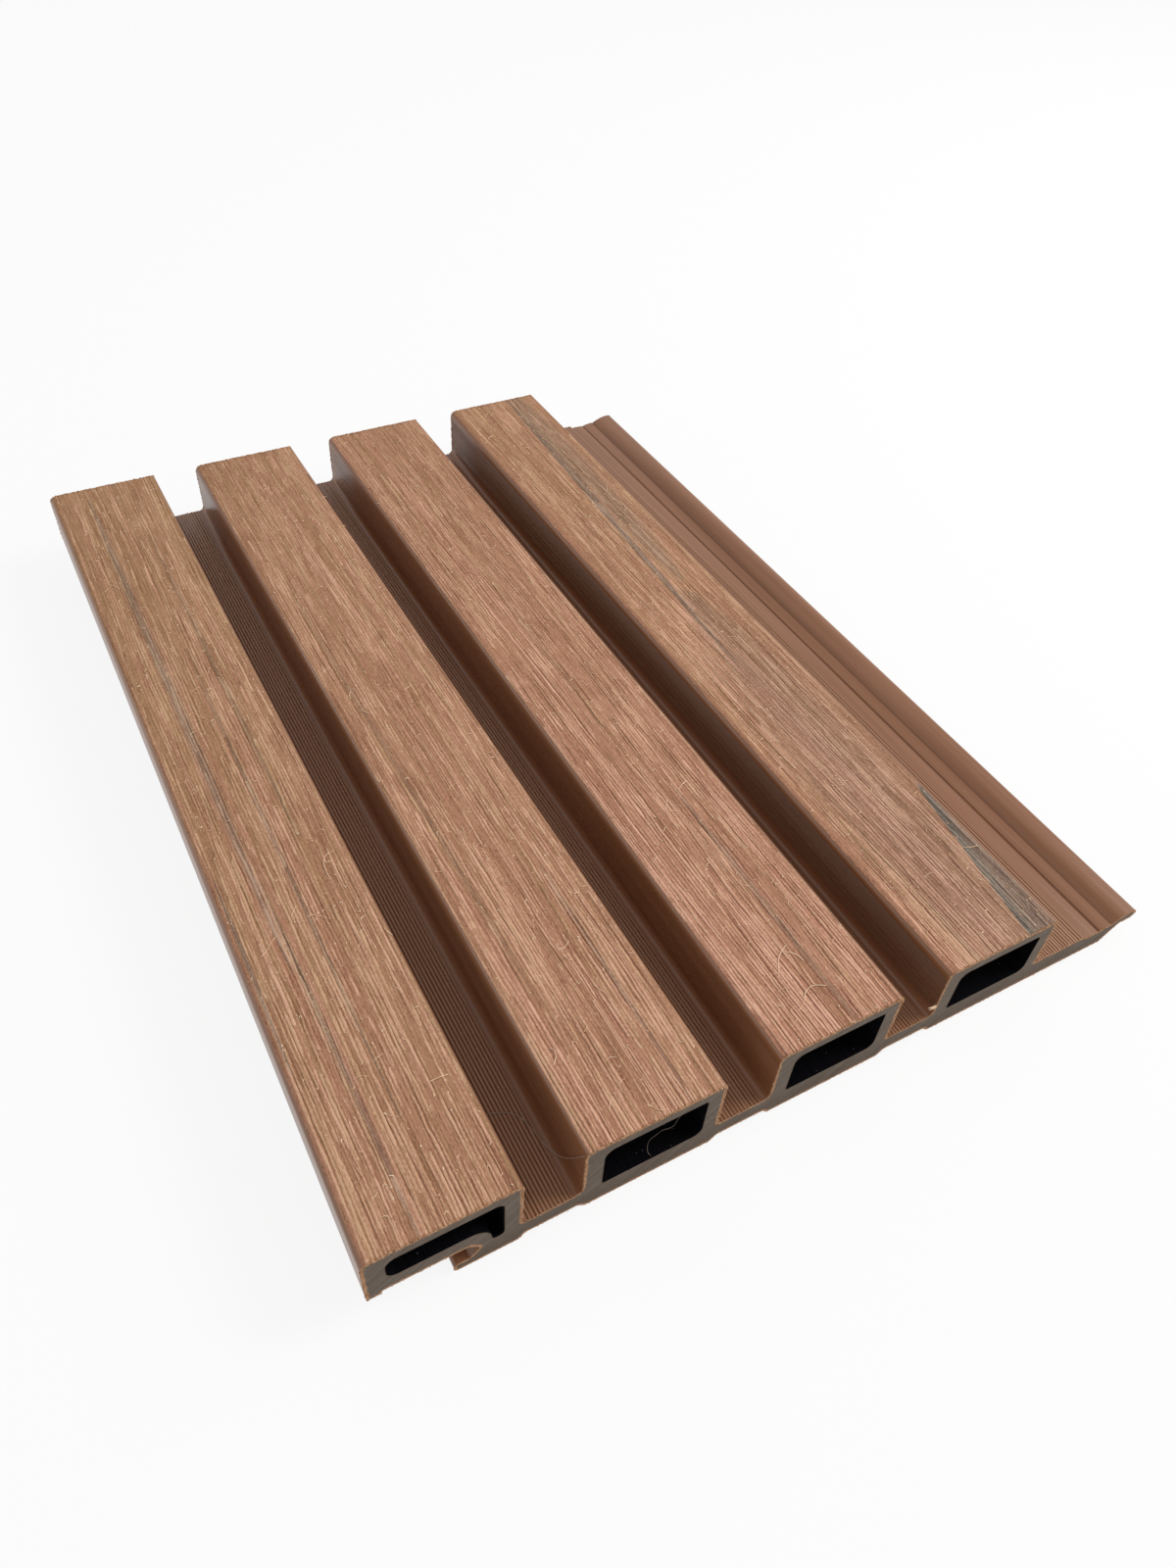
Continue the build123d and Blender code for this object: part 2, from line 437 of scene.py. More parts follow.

# Saw cut: grey core with slanting tooth marks and painted shade towards the floor, and the torn tan skin
# round it
CORE_GREY, CORE_PALE = (0.130, 0.101, 0.078, 1), (0.194, 0.153, 0.120, 1)
CORE_BROWN = (0.105, 0.070, 0.046, 1)
CUT_TAN, CUT_ORANGE = (0.60, 0.37, 0.225, 1), (0.42, 0.205, 0.10, 1)
SAW_SLANT = math.radians(38)
TOOTH_MARK = (0.02, 0.02, 0.0005)  # length and width of the tooth marks in metres
RAGGED = 1.5  # mm by which the borders on the cut wander
saw_cut, tree, surface = new_finish("saw_cut", 0.75, 0.12)
where = tree.nodes.new("ShaderNodeTexCoord").outputs["Object"]
turned = tree.nodes.new("ShaderNodeVectorRotate")
turned.rotation_type = "Y_AXIS"
turned.inputs["Angle"].default_value = SAW_SLANT
tree.links.new(where, turned.inputs["Vector"])
stretched = tree.nodes.new("ShaderNodeVectorMath")
stretched.operation = "DIVIDE"
stretched.inputs[1].default_value = TOOTH_MARK
tree.links.new(turned.outputs[0], stretched.inputs[0])
tooth = tree.nodes.new("ShaderNodeTexNoise")
tooth.inputs["Scale"].default_value = 1.0
tooth.inputs["Detail"].default_value = 3.0
tree.links.new(stretched.outputs[0], tooth.inputs["Vector"])
crumbs = placed(tree, grit, Scale=1400.0, Detail=3.0)
core = mixed(tree, ranged(tree, tooth.outputs["Fac"], 0.35, 0.7), CORE_GREY, CORE_PALE)
# Painted shade: the core turns darker and browner towards the floor
low = tree.nodes.new("ShaderNodeSeparateXYZ")
tree.links.new(where, low.inputs[0])
core = mixed(tree, ranged(tree, low.outputs["Z"], 0.009, 0.002, 0.0, 0.45), core, CORE_BROWN)
chips = placed(tree, speckle, Spacing=0.0012, Size=0.16, Share=0.10)
core = mixed(tree, worked(tree, "MULTIPLY", chips, 0.35), core, CORE_PALE)
ragged = worked(tree, "MULTIPLY", worked(tree, "SUBTRACT", crumbs, 0.5), RAGGED)
edge_gap = worked(tree, "ADD", marked(tree, "rim_gap"), ragged)
core = mixed(tree, ranged(tree, edge_gap, 0.42, 0.0, 0.0, 0.75), core, CORE_BROWN)
torn = mixed(tree, ranged(tree, crumbs, 0.35, 0.65), CUT_ORANGE, CUT_TAN)
depth = worked(tree, "ADD", marked(tree, "skin_depth"), ragged)
colour = mixed(tree, ranged(tree, depth, 0.85, 0.5), core, torn)
tree.links.new(colour, surface["Base Color"])
relief = worked(tree, "ADD", tooth.outputs["Fac"], worked(tree, "MULTIPLY", crumbs, 0.6))
tree.links.new(raised(tree, relief, 0.5, 0.0002), surface["Normal"])
tree.links.new(ranged(tree, crumbs, 0.3, 0.7, 0.65, 0.85), surface["Roughness"])
board_mesh.materials.append(saw_cut)

# Chamber lining: core that slid along the steel mandrel, painted near black as the shade deep inside the
# chambers, with a little saw dust
LINING_SHADE_BLACK, LINING_SHADE_BROWN = (0.0018, 0.0016, 0.0028, 1), (0.005, 0.004, 0.005, 1)
DUST = (0.24, 0.22, 0.22, 1)
material, tree, surface = new_finish("chamber_shade_lining", 0.7, 0.03)
narrow = placed(tree, drawn_lines, Across=0.0006, Along=0.05)
colour = mixed(tree, ranged(tree, narrow, 0.35, 0.7), LINING_SHADE_BLACK, LINING_SHADE_BROWN)
specks = placed(tree, speckle, Spacing=0.0013, Size=0.10, Share=0.22)
colour = mixed(tree, worked(tree, "MULTIPLY", specks, 0.6), colour, DUST)
tree.links.new(colour, surface["Base Color"])
tree.links.new(ranged(tree, narrow, 0.3, 0.7, 0.6, 0.8), surface["Roughness"])
tree.links.new(raised(tree, narrow, 0.15, 0.0001), surface["Normal"])
board_mesh.materials.append(material)

# Brushed tops: the brown skin of the four slats, combed into ribs by the die. A wire brush then
# tears the ribs, so that ridges break off, wander and run together, with flat patches between.
ROW_COUNT = 360  # steps along the board
RIDGE_PITCH = 0.84 * MM
RIDGE_DEPTH = 0.23  # mm, at the middle of the board
NEAR_BITE, FAR_BITE = 1.1, 0.7  # the brush bit deeper towards the near cut
SLAT_BITE = (0.9, 0.95, 1.2, 1.05)
RIDGE_GAP = 0.48  # mm between the crests of two ridges that run together
FLANK = 0.12  # mm across the side of a ridge
PLATEAU = (0.13, 0.27)  # half the width of a ridge's flat top, in mm
SMOOTH_EDGE = (0.5, -0.5, -0.5, 0.8)  # mm left unbrushed by the rounded edge, below 0 if cut at once
SETS_IN = 0.9  # mm over which the ridges then set in
row_y = np.linspace(near_y, far_y, ROW_COUNT + 1)


def ease(value, low, high):
    """Smooth step from 0 at low to 1 at high."""
    share = np.clip((value - low) / (high - low), 0, 1)
    return share * share * (3 - 2 * share)


def drift(lines, reach, spread=0.0):
    """Smooth random values of unit size that change over `reach` rows and `spread` lines."""
    rows = ROW_COUNT + 1
    margin = int(4 * max(reach, spread)) + 1
    field = chance.normal(size=(lines + 2 * margin, rows + 2 * margin))
    steps = np.arange(-margin, margin + 1)
    for axis, size in ((1, reach), (0, spread)):
        if size > 0:
            kernel = np.exp(-0.5 * (steps / size) ** 2)
            field = np.apply_along_axis(np.convolve, axis, field, kernel, "same")
    field = field[margin:margin + lines, margin:margin + rows]
    return field / field.std()


def drifts(lines, waves):
    """Sum of several drifts, each given as its amount, its reach and its spread."""
    return sum(amount * drift(lines, reach, spread) for amount, reach, spread in waves)


# Streaks of unmixed pigment, in mm: x at the near and far end, y from and to, width, and strength,
# above 0 for charcoal and below 0 for amber
STREAKS = [
    (51.0, 57.0, -30, 146, 4.6, -0.50),
    (54.5, 61.8, -30, 150, 2.4, 0.62),
    (62.0, 66.0, 15, 148, 9.0, 0.32),
    (58.5, 64.0, 50, 150, 3.0, 0.46),
    (-99.0, -98.0, -75, 140, 2.6, 0.44),
    (-101.5, -101.0, 20, 140, 2.0, -0.35),
    (-97.0, -97.6, -150, -45, 1.3, 0.40),
    (-107.4, -107.2, -100, -40, 0.9, 0.60),
    (-90.8, -90.0, -120, 40, 1.1, 0.36),
    (-84.2, -85.0, -40, 110, 1.6, 0.25),
    (-52.5, -53.5, -110, 60, 1.2, 0.25),
    (-34.6, -34.0, -150, -70, 1.0, 0.34),
    (9.6, 10.4, -150, -60, 1.8, 0.32),
    (46.5, 47.0, -150, -20, 0.9, 0.30),
    (57.0, 59.0, -220, 10, 28.0, 0.22),
]
STREAK_TIP = 0.02  # share of its width that a streak has at its ends
STREAK_EDGE = (0.3, 1.5)  # shares of half its width between which a streak fades out
# Dark wedge at the near end of the last slat: x of its left side at the cut and of its tip, y of its
# tip, bend of that side, its sharpness in mm, its blunt tip as a share of its length, and what it
# loses between two distances from that side
WEDGE_LEFT, WEDGE_TIP, WEDGE_START = 62.6, 71.3, -90.0
WEDGE_BEND, WEDGE_EDGE, WEDGE_BLUNT = 0.9, (-0.15, 0.25), 0.06
WEDGE_STRENGTH = 0.95
WEDGE_LOSSES = ((0.26, 0.8, 3.5), (0.16, 5.0, 9.0))


def pigment(x, y):
    """Streak of pigment at a place on the slat tops, given in millimetres."""
    total = np.zeros(np.broadcast(x, y).shape)
    for near_x, far_x, start, end, width, strength in STREAKS:
        along = np.clip((y - start) / (end - start), 0, 1)
        middle = near_x + (far_x - near_x) * along
        half = width / 2 * np.sqrt(np.sin(math.pi * along)).clip(STREAK_TIP)
        inside = (y > start) & (y < end)
        share = strength * inside * (1 - ease(abs(x - middle) / half, *STREAK_EDGE))
        total = np.where(abs(share) > abs(total), share, total)
    run = np.clip((WEDGE_START - y) / (WEDGE_START - near_y / MM), 0, 1)
    left = WEDGE_TIP - (WEDGE_TIP - WEDGE_LEFT) * run ** WEDGE_BEND
    fade = 1 - sum(loss * ease(x - left, near, far) for loss, near, far in WEDGE_LOSSES)
    wedge = ease(x - left, *WEDGE_EDGE) * fade * ease(run, 0, WEDGE_BLUNT)
    return np.maximum(total, WEDGE_STRENGTH * wedge)


# Run of the ridges. Waves are given as an amount, rows of reach and lines of spread, sizes in mm,
# and depths of torn places as shares of the depth of the brushing.
GAP_SPREAD = (0.82, 1.18)  # spacing of the ridges, as shares of their pitch
HELD_BY_EDGE = (0.2, 2.0)  # distances from an edge between which ridges start to wander
WANDER = ((0.22, 36, 3.0), (0.16, 15, 1.3), (0.08, 7, 0.0), (0.045, 1.3, 0.0))
BREAKS = ((1.0, 7, 0.2), (0.5, 24, 0.8))
BROKEN_BELOW = (-0.85, -0.5)  # wave values between which a ridge goes from broken to whole
TORN_DEPTH, TORN_MOST = 0.55, 0.75
TORN_EVEN, TORN_WAVES = 0.8, ((0.2, 3, 0.0),)
CREST_DEPTH, CREST_CRUMBLE = 0.04, 0.014
PLATEAU_WAVES = ((0.04, 6, 0.0), (0.04, 1.2, 0.0))
PLATEAU_LEAST, FLANK_SPARE = 0.05, 0.02
BRUSHED_FROM = 0.1  # depth of brushing from which a ridge counts as one


def torn_ridges(left, right, bite):
    """Crest lines of one top in mm: places, heights below the top, half widths, and what is whole."""
    count = round((right - left) * MM / RIDGE_PITCH)
    gaps = chance.uniform(*GAP_SPREAD, count + 1)
    gaps[[0, -1]] /= 2
    base = (left + (right - left) * np.cumsum(gaps)[:-1] / gaps.sum())[:, None]
    hold = ease(np.minimum(base - left, right - base), *HELD_BY_EDGE)
    crest = base + hold * drifts(count, WANDER)
    for index in range(1, count):
        crest[index] = np.maximum(crest[index], crest[index - 1] + RIDGE_GAP)
    limit = right - RIDGE_GAP
    for index in reversed(range(count)):
        crest[index] = np.minimum(crest[index], limit)
        limit = crest[index] - RIDGE_GAP
    whole = ease(drifts(count, BREAKS), *BROKEN_BELOW)
    torn = TORN_DEPTH * (1 - whole) * (TORN_EVEN + drifts(count, TORN_WAVES))
    bite = bite(base)
    low = bite * (CREST_DEPTH + torn.clip(0, TORN_MOST)) + CREST_CRUMBLE * abs(drift(count, 1.0))
    half = chance.uniform(*PLATEAU, (count, 1)) + drifts(count, PLATEAU_WAVES)
    room = np.diff(crest, axis=0)
    room = np.minimum(np.vstack([room, room[-1:]]), np.vstack([room[:1], room]))
    half = np.minimum(half, room / 2 - FLANK - FLANK_SPARE).clip(PLATEAU_LEAST)
    return crest, low, half, whole * (bite > BRUSHED_FROM)


# Warmth of the ridges, from olive to pink, and their ridge value, from a valley with painted shade,
# darker the deeper it is, to a pale crest
TONE_WAVES, TONE_SPREAD = ((0.34, 60, 0.4),), 0.25
NEAR_TONE, FAR_TONE = 0.25, -0.55
FLECK_WAVES, FLECK_RANGE = ((1.0, 5.0, 0.3), (0.35, 1.0, 0.0)), (0.4, 1.6)
TORN_LIGHT, WHOLE_LIGHT, FLECK_LIGHT = 0.18, 0.34, 0.45
LIGHT_WAVES, LIGHT_SPREAD = ((0.10, 12, 1.2), (0.045, 1.0, 0.0)), 0.06
NEAR_LIGHT, FAR_LIGHT = 1.0, 0.66
LEAST_LIGHT, LIGHT_LIMITS = 0.32, (0.2, 1.2)
NOSE_SHARE = 0.72  # share of the ridge value that is left by the rounded edge
LEFT_LIGHT, RIGHT_LIGHT = 0.3, 0.45  # along the edges of the top
# Painted shade: deep valleys and the feet of the ridges get low ridge values, so darker colours
VALLEY_LIGHT, SHALLOW_LIGHT = 0.10, 0.36
# Valleys, as shares of the depth of the brushing, and the foot of a ridge, as shares of its valley
CUT_DEPTH, CUT_WAVES, CUT_LIMITS = 0.56, ((0.30, 7, 0.0),), (0.1, 1.1)
SCORE_DEPTH, SCORE_REACH, SCORE_RANGE = 0.2, 10, (0.6, 1.2)
LEAST_CUT, DEEP_RANGE = 0.035, (0.02, 0.24)  # mm below the ridges
FOOT_DEPTH, FOOT_DARK = 0.72, 0.55


def brushed_courses(left, right, cast, slat_bite, smooth_edge):
    """Lines along one brushed top, from left to right, as x and depth in mm, ridge and tone."""
    along = np.linspace(NEAR_BITE, FAR_BITE, ROW_COUNT + 1) * slat_bite * RIDGE_DEPTH

    def bite(x):
        """Depth of the brushing at a place, with none along the rounded edge."""
        return along * ease(x - left - smooth_edge, 0, SETS_IN)

    crest, low, half, whole = torn_ridges(left, right, bite)
    count = len(crest)
    tone = cast + drifts(count, TONE_WAVES) + chance.normal(0, TONE_SPREAD, (count, 1))
    tone += np.linspace(NEAR_TONE, FAR_TONE, ROW_COUNT + 1)
    flecks = ease(drifts(count, FLECK_WAVES), *FLECK_RANGE)
    bright = TORN_LIGHT + WHOLE_LIGHT * whole + FLECK_LIGHT * whole * flecks + drifts(count, LIGHT_WAVES)
    bright += chance.normal(0, LIGHT_SPREAD, (count, 1))
    bright *= np.linspace(NEAR_LIGHT, FAR_LIGHT, ROW_COUNT + 1)
    bright = (LEAST_LIGHT + bright).clip(*LIGHT_LIMITS)
    bright *= NOSE_SHARE + (1 - NOSE_SHARE) * ease(crest - left - smooth_edge, 0, SETS_IN)
    cut = (CUT_DEPTH + drifts(count - 1, CUT_WAVES)).clip(*CUT_LIMITS)
    cut += SCORE_DEPTH * ease(drift(count - 1, SCORE_REACH), *SCORE_RANGE)
    cut *= bite((crest[1:] + crest[:-1]) / 2)
    cut = np.maximum(cut, np.maximum(low[1:], low[:-1]) + LEAST_CUT)
    deep = ease(cut - np.minimum(low[1:], low[:-1]), *DEEP_RANGE)
    flat = np.zeros((1, ROW_COUNT + 1))
    foot_left, foot_right = crest - half - FLANK, crest + half + FLANK
    floor_low = np.vstack([flat, cut, flat])
    valley_bright = VALLEY_LIGHT + SHALLOW_LIGHT * (1 - deep)
    floor_bright = np.vstack([flat + LEFT_LIGHT, valley_bright, flat + RIGHT_LIGHT])
    courses = [(flat + left, flat, flat + LEFT_LIGHT, tone[:1])]
    for index in range(count):
        for side, foot, edge in ((0, foot_left, -1), (1, foot_right, 1)):
            near_low, near_bright = floor_low[index + side], floor_bright[index + side]
            foot_low = (1 - FOOT_DEPTH) * low[index] + FOOT_DEPTH * near_low
            foot_bright = (1 - FOOT_DARK) * bright[index] + FOOT_DARK * near_bright
            pair = [(foot[index], foot_low, foot_bright, tone[index])]
            pair.append((crest[index] + edge * half[index], low[index], bright[index], tone[index]))
            courses += pair if side == 0 else pair[::-1]
        if index < count - 1:
            middle = (foot_right[index] + foot_left[index + 1]) / 2
            shared = (tone[index] + tone[index + 1]) / 2
            courses.append((middle, cut[index], floor_bright[index + 1], shared))
    courses.append((flat + right, flat, flat + RIGHT_LIGHT, tone[-1:]))
    lines = []
    for course in courses:
        lines.append(np.stack([np.broadcast_to(np.ravel(part), ROW_COUNT + 1) for part in course]))
    return np.stack(lines), (crest, low, whole)


def closed_skin(name, lines, rounding):
    """Mesh of a brushed top, closed by its two cuts, its sides and the bed under it."""
    count, rows = len(lines), ROW_COUNT + 1
    x = lines[:, 0] * MM
    low = top_z - lines[:, 1] * MM - np.interp(x, *np.transpose(rounding))
    points = [np.stack([x, np.broadcast_to(row_y, x.shape), low], -1).reshape(-1, 3)]
    for end, y in ((0, near_y), (-1, far_y)):
        bed = np.column_stack([x[:, end], np.full(count, y), np.full(count, top_z - BED_DEPTH)])
        points.append(bed)
    grid = np.arange(count * rows).reshape(count, rows)
    near_bed = count * rows + np.arange(count)
    far_bed = near_bed + count
    quads = [np.stack([grid[:-1, :-1], grid[1:, :-1], grid[1:, 1:], grid[:-1, 1:]], -1).reshape(-1, 4)]
    quads.append(np.column_stack([near_bed[:-1], near_bed[1:], grid[1:, 0], grid[:-1, 0]]))
    quads.append(np.column_stack([far_bed[1:], far_bed[:-1], grid[:-1, -1], grid[1:, -1]]))
    quads.append(np.column_stack([near_bed[1:], near_bed[:-1], far_bed[:-1], far_bed[1:]]))
    made = np.concatenate(quads).tolist()
    half = rows // 2
    sides = ((grid[0], near_bed[0], far_bed[0], 1), (grid[-1], near_bed[-1], far_bed[-1], -1))
    for line, near, far, turn in sides:
        fans = [(line[row], line[row + 1], far if row >= half else near) for row in range(rows - 1)]
        fans.append((line[half], far, near))
        made += [fan[::turn] for fan in fans]
    mesh = bpy.data.meshes.new(name)
    mesh.from_pydata(np.concatenate(points).tolist(), [], made)
    brushed_count = len(quads[0])
    is_top = np.arange(len(made)) < brushed_count
    is_cut = ~is_top & (np.arange(len(made)) < brushed_count + 2 * (count - 1))
    mesh.polygons.foreach_set("use_smooth", is_top)
    mesh.polygons.foreach_set("material_index", is_cut.astype(int))
    depth = np.concatenate([np.zeros(count * rows), np.full(2 * count, BED_DEPTH / MM)])
    values = lines[:, 2:].transpose(1, 0, 2).reshape(2, -1)
    ridge, tone = np.column_stack([values, np.zeros((2, 2 * count))])
    streak = pigment(lines[:, 0], row_y / MM).ravel()
    mark(mesh, skin_depth=depth, rim_gap=np.full(len(depth), FAR_OFF), ridge=ridge, tone=tone)
    mark(mesh, streak=np.concatenate([streak, np.zeros(2 * count)]))
    return mesh


# Tan ridges over browner flat patches and valleys darkened by painted shade, each ridge of its own
# warmth
RIDGE_OLIVE, RIDGE_PINK = (0.585, 0.366, 0.218, 1), (0.73, 0.423, 0.296, 1)
BODY_OLIVE, BODY_PINK = (0.374, 0.203, 0.107, 1), (0.470, 0.231, 0.149, 1)
VALLEY_SHADE_OLIVE, VALLEY_SHADE_PINK = (0.224, 0.110, 0.056, 1), (0.272, 0.119, 0.072, 1)
CHARCOAL, ASH = (0.092, 0.085, 0.075, 1), (0.262, 0.216, 0.173, 1)
AMBER = (0.47, 0.225, 0.095, 1)
FIBRE_SHARE = 1.3  # strength of the short fibres beside that of the long fine lines
UNEVEN = 1.3  # how far both change the ridge value
WARMTH_MIDDLE, WARMTH_SHARE = 0.5, 0.42
brushed_skin, tree, surface = new_finish("brushed_skin", 0.65, 0.06)
warmth = worked(tree, "MULTIPLY", marked(tree, "tone"), WARMTH_SHARE)
warmth = worked(tree, "ADD", warmth, WARMTH_MIDDLE)
fine_lines = placed(tree, drawn_lines, Across=0.0002, Along=0.008)
fibres = placed(tree, drawn_lines, Across=0.00016, Along=0.0009)
both = worked(tree, "ADD", fine_lines, worked(tree, "MULTIPLY", fibres, FIBRE_SHARE))
uneven = worked(tree, "SUBTRACT", both, 0.5 + 0.5 * FIBRE_SHARE)
uneven = worked(tree, "MULTIPLY", uneven, UNEVEN)
height = worked(tree, "ADD", marked(tree, "ridge"), uneven)
valley = mixed(tree, warmth, VALLEY_SHADE_OLIVE, VALLEY_SHADE_PINK)
body = mixed(tree, warmth, BODY_OLIVE, BODY_PINK)
crest = mixed(tree, warmth, RIDGE_OLIVE, RIDGE_PINK)
# Painted shade in the valleys: low ridge values take the dark valley colours
colour = mixed(tree, ranged(tree, height, 0.0, 0.42), valley, body)
colour = mixed(tree, ranged(tree, height, 0.55, 1.1), colour, crest)
ash = mixed(tree, ranged(tree, height, 0.2, 0.95), CHARCOAL, ASH)
streak = marked(tree, "streak")
colour = mixed(tree, worked(tree, "MULTIPLY", streak, -1.0), colour, AMBER)
colour = mixed(tree, streak, colour, ash)
tree.links.new(colour, surface["Base Color"])
tree.links.new(ranged(tree, fine_lines, 0.25, 0.75, 0.7, 0.54), surface["Roughness"])
tree.links.new(raised(tree, both, 0.4, 0.00016), surface["Normal"])

SLAT_CAST = (-0.45, 0.05, 0.35, 0.10)  # slats from olive to pink, as the pigment came
slat_crests = []
slats = zip(top_edges, roundings, SLAT_CAST, SLAT_BITE, SMOOTH_EDGE)
for number, ((left, right), rounding, cast, slat_bite, smooth_edge) in enumerate(slats, start=1):
    lines, (crest, low, whole) = brushed_courses(left / MM, right / MM, cast, slat_bite, smooth_edge)
    slat_crests.append((crest, low + np.interp(crest * MM, *np.transpose(rounding)) / MM, whole))
    top_mesh = closed_skin(f"brushed_top_{number}", lines, rounding)
    top_mesh.materials.append(brushed_skin)
    top_mesh.materials.append(saw_cut)
    part_of_board(f"brushed_top_{number}", top_mesh)

# Torn skin: the saw and the brush leave thin tan plastic threads that stay on the board, as a
# fringe along both cuts, as hooks at the broken ends of the ridges, and as a few longer curls.
chance = np.random.default_rng(57)


LEAN = (0.13, 0.21, 0.97)  # a direction that no thread follows
NOT_ZERO = 1e-12


class Threads:
    """Points and faces of many thin closed threads, gathered for one joined mesh."""

    def __init__(self):
        self.verts = []
        self.faces = []

    def add(self, path, radii, sides=4):
        """One thread along a path, with a radius at each of its points."""
        path = np.asarray(path, float)
        begin = len(self.verts)
        along = np.gradient(path, axis=0)
        along /= np.linalg.norm(along, axis=1)[:, None] + NOT_ZERO
        over = np.cross(along, LEAN)
        over /= np.linalg.norm(over, axis=1)[:, None] + NOT_ZERO
        across = np.cross(over, along)
        for angle in np.arange(sides) * 2 * math.pi / sides:
            offset = math.cos(angle) * over + math.sin(angle) * across
            self.verts.extend((path + offset * np.asarray(radii)[:, None]).tolist())
        count = len(path)
        for side in range(sides):
            one = begin + side * count
            two = begin + (side + 1) % sides * count
            for step in range(count - 1):
                self.faces.append((one + step, one + step + 1, two + step + 1, two + step))
        self.faces.append([begin + side * count for side in range(sides)])
        self.faces.append([begin + side * count + count - 1 for side in reversed(range(sides))])

    def piece(self, name, material):
        """The joined mesh as a piece of the board."""
        mesh = bpy.data.meshes.new(name)
        mesh.from_pydata(self.verts, [], self.faces)
        mesh.polygons.foreach_set("use_smooth", [True] * len(self.faces))
        mesh.materials.append(material)
        return part_of_board(name, mesh)


THREAD_TAN, THREAD_PALE = (0.70, 0.45, 0.27, 1), (0.90, 0.68, 0.49, 1)
torn_skin, tree, surface = new_finish("torn_skin", 0.6, 0.2)
patches = placed(tree, grit, Scale=700.0)
along_board = placed(tree, drawn_lines, Across=0.002, Along=0.05)
mix_share = worked(tree, "MULTIPLY", worked(tree, "ADD", patches, along_board), 0.5)
colour = mixed(tree, ranged(tree, mix_share, 0.38, 0.62), THREAD_TAN, THREAD_PALE)
tree.links.new(colour, surface["Base Color"])
tree.links.new(ranged(tree, patches, 0.3, 0.7, 0.5, 0.75), surface["Roughness"])
tree.links.new(raised(tree, patches, 0.3, 0.0001), surface["Normal"])

# Fringe along the cuts: crumbs and a few strands, thick where the blade met the finished face
# Spacing in mm and size of the fringe on the tops, the left walls, what else is in view, and the back
FRINGE_TOP, FRINGE_WALL, FRINGE_FLOOR, FRINGE_BACK = (0.22, 1.15), (0.22, 1.0), (0.30, 0.85), (1.1, 0.55)
FRINGE_TOP_ZONE = 1.5 * MM
STEEP, FACES_UP = 0.9, 0.3
STRAND_SHARE = 0.12
STRAND_REACH, STRAND_THICK = (0.5, 1.1), (0.05, 0.09)  # mm at full size
CRUMB_REACH, CRUMB_THICK = (0.08, 0.42), (0.09, 0.2)
FRINGE_SWAY, FRINGE_LIFT = 0.25, 0.2
ROOT_IN, ROOT_DEEP, BEND_IN = 0.12, 0.15, (-0.12, 0.1)  # mm from the rim and behind the cut
FRINGE_TAPER = np.array([0.7, 1.0, 0.9, 0.5])
FRINGE_GAPS = (0.4, 1.6)  # shares of the spacing
fringe = Threads()
for y, outwards in ((near_y, -1), (far_y, 1)):
    rim = np.column_stack([outline[:, 0], np.full(len(outline), y), outline[:, 1]])
    run = np.roll(rim, -1, axis=0) - rim
    length = np.linalg.norm(run, axis=1)
    ends = np.concatenate([[0], np.cumsum(length)])
    at = 0.0
    while at < ends[-1]:
        piece = min(int(np.searchsorted(ends, at, side="right")) - 1, len(rim) - 1)
        unit = run[piece] / length[piece]
        inward = np.array([unit[2], 0, -unit[0]])
        spot = rim[piece] + unit * (at - ends[piece])
        if spot[2] > top_z - FRINGE_TOP_ZONE:
            spacing, size = FRINGE_TOP
        elif unit[2] > STEEP:
            spacing, size = FRINGE_WALL
        elif abs(unit[2]) > STEEP or unit[0] > FACES_UP:
            spacing, size = FRINGE_FLOOR
        else:
            spacing, size = FRINGE_BACK
        is_strand = chance.random() < STRAND_SHARE
        reach = size * chance.uniform(*(STRAND_REACH if is_strand else CRUMB_REACH)) * MM
        thick = size * chance.uniform(*(STRAND_THICK if is_strand else CRUMB_THICK)) * MM
        sway = chance.normal(0, FRINGE_SWAY) * MM
        lift = size * chance.uniform(0.0, FRINGE_LIFT) * MM
        out = np.array([0, outwards, 0])
        path = [spot + inward * ROOT_IN * MM - out * ROOT_DEEP * MM]
        path.append(spot + inward * chance.uniform(*BEND_IN) * MM + out * lift * 0.6)
        path.append(spot + inward * reach * 0.6 + unit * sway * 0.5 + out * lift)
        path.append(spot + inward * reach + unit * sway + out * lift * chance.uniform(0.0, 1.0))
        fringe.add(path, FRINGE_TAPER * thick)
        at += spacing * chance.uniform(*FRINGE_GAPS) * MM
fringe.piece("saw_fringe", saw_cut)

